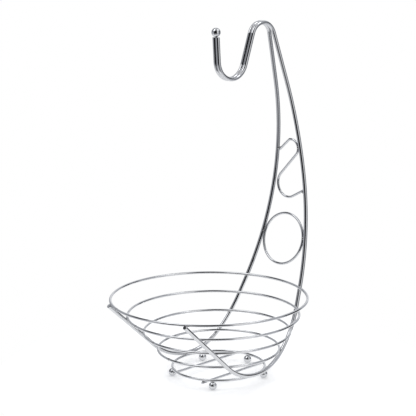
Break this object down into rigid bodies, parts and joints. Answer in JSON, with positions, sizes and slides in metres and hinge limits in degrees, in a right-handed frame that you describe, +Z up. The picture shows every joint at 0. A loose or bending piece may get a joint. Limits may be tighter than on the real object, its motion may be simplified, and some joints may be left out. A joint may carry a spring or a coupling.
{
  "type": "fruit bowl",
  "caption": "Open round wire fruit bowl on small ball feet, with a tall curved back of two wires that meet in a hook for hanging bananas.",
  "frame": {"origin": "on the ground, under the middle of the part's box", "axes": "+Z up; +X from the front of the bowl to the hanger tower at the back; +Y to the left, seen from the front"},
  "size_m": [0.2918, 0.263, 0.4681],
  "materials": {
    "chrome_wire": "bright chrome plating on steel wire",
    "chrome_ball": "bright chrome plating on steel balls"
  },
  "bodies": {
    "root": {"base_ring": "chrome_wire", "bowl_ring_1": "chrome_wire", "bowl_ring_2": "chrome_wire", "bowl_ring_3": "chrome_wire", "rim_ring": "chrome_wire", "hanger_wire_left": "chrome_wire", "hanger_wire_right": "chrome_wire", "base_wire_left": "chrome_wire", "base_wire_right": "chrome_wire", "scroll_wire": "chrome_wire", "tower_ring": "chrome_wire", "hook_ball": "chrome_ball", "foot_ball_1": "chrome_ball", "foot_ball_2": "chrome_ball", "foot_ball_3": "chrome_ball", "foot_ball_4": "chrome_ball", "foot_ball_5": "chrome_ball"}
  },
  "joints": []
}
